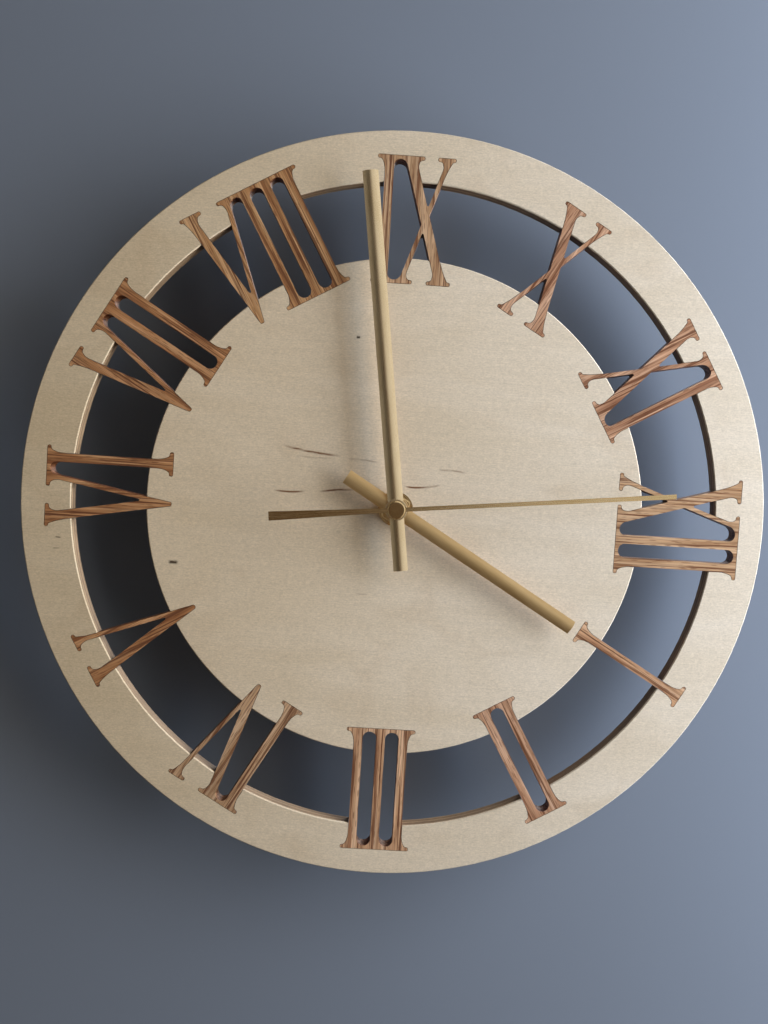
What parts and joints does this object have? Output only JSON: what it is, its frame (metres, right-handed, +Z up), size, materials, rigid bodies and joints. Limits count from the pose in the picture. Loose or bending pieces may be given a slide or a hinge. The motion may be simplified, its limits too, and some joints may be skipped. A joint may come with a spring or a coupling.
{
  "type": "skeleton wall clock",
  "caption": "Round skeleton wall clock: a pale ply ring and disc held together by dark wooden Roman numerals, with brass hands on a geared quartz movement and a nail-hole hanger.",
  "frame": {"origin": "where the axis of the hands meets the wall, on the back of the movement", "axes": "+Z up towards XII, -Y out of the dial towards the viewer, +X towards III"},
  "size_m": [0.3, 0.0356, 0.3],
  "materials": {
    "birch_ply": "sanded birch plywood, thin clear finish",
    "dark_wood": "open-grained red-brown hardwood, thin clear finish",
    "brass": "brushed lengthways",
    "rubber": "matt",
    "steel": "plain stamped sheet",
    "black_plastic": "fine moulded texture",
    "gear_plastic": "moulded",
    "copper_wire": "enamelled wire",
    "magnet": "sintered",
    "circuit_board": "green solder mask",
    "chip": "potted",
    "battery_can": "plain sleeve, no print"
  },
  "bodies": {
    "clock_body": {"outer_ring": "birch_ply", "inner_disc": "birch_ply", "numeral_01": "dark_wood", "numeral_02": "dark_wood", "numeral_03": "dark_wood", "numeral_04": "dark_wood", "numeral_05": "dark_wood", "numeral_06": "dark_wood", "numeral_07": "dark_wood", "numeral_08": "dark_wood", "numeral_09": "dark_wood", "numeral_10": "dark_wood", "numeral_11": "dark_wood", "numeral_12": "dark_wood", "brass_washer": "brass", "rubber_washer": "rubber", "fixing_nut": "brass", "threaded_bushing": "brass", "hanger_plate": "steel", "movement_case": "black_plastic", "movement_back_cover": "black_plastic", "stator": "steel", "coil_core": "steel", "coil_bobbin": "gear_plastic", "coil_winding": "copper_wire", "circuit_board": "circuit_board", "timing_chip": "chip", "quartz_crystal": "steel", "battery": "battery_can", "battery_contact_positive": "steel", "battery_contact_negative": "steel"},
    "hour": {"hour_hand": "brass", "hour_wheel": "gear_plastic"},
    "minute": {"minute_hand": "brass", "centre_wheel": "gear_plastic"},
    "second": {"second_hand": "brass", "second_hand_boss": "brass", "second_wheel": "gear_plastic", "second_arbor": "steel"},
    "third": {"third_wheel": "gear_plastic"},
    "fifth": {"fifth_wheel": "gear_plastic"},
    "rotor": {"rotor_pinion": "gear_plastic", "rotor_magnet": "magnet"},
    "minute_works": {"minute_wheel": "gear_plastic"},
    "setting": {"setting_pinion": "gear_plastic", "setting_knob": "black_plastic"}
  },
  "joints": [
    {"name": "minute_turn", "type": "hinge", "parent": "clock_body", "child": "minute", "pos_m": [0, 0, 0], "axis": [0, 1, 0], "continuous": true},
    {"name": "hour_turn", "type": "hinge", "parent": "clock_body", "child": "hour", "pos_m": [0, 0, 0], "axis": [0, 1, 0], "continuous": true},
    {"name": "second_turn", "type": "hinge", "parent": "clock_body", "child": "second", "pos_m": [0, 0, 0], "axis": [0, 1, 0], "continuous": true},
    {"name": "third_turn", "type": "hinge", "parent": "clock_body", "child": "third", "pos_m": [-0.00883, 0, 0.0051], "axis": [0, 1, 0], "continuous": true},
    {"name": "fifth_turn", "type": "hinge", "parent": "clock_body", "child": "fifth", "pos_m": [0.011, 0, 0], "axis": [0, 1, 0], "continuous": true},
    {"name": "rotor_turn", "type": "hinge", "parent": "clock_body", "child": "rotor", "pos_m": [0.01636, 0, -0.0045], "axis": [0, 1, 0], "continuous": true},
    {"name": "minute_wheel_turn", "type": "hinge", "parent": "clock_body", "child": "minute_works", "pos_m": [0, 0, 0.0105], "axis": [0, 1, 0], "continuous": true},
    {"name": "setting_turn", "type": "hinge", "parent": "clock_body", "child": "setting", "pos_m": [0.00804, 0, 0.01725], "axis": [0, 1, 0], "continuous": true}
  ],
  "couplings": [
    {"joint": "hour_turn", "follows": "minute_turn", "ratio": 0.083333},
    {"joint": "second_turn", "follows": "minute_turn", "ratio": 60},
    {"joint": "third_turn", "follows": "minute_turn", "ratio": -8},
    {"joint": "fifth_turn", "follows": "minute_turn", "ratio": -300},
    {"joint": "rotor_turn", "follows": "minute_turn", "ratio": 1800},
    {"joint": "minute_wheel_turn", "follows": "minute_turn", "ratio": -0.33333},
    {"joint": "setting_turn", "follows": "minute_turn", "ratio": 1}
  ]
}
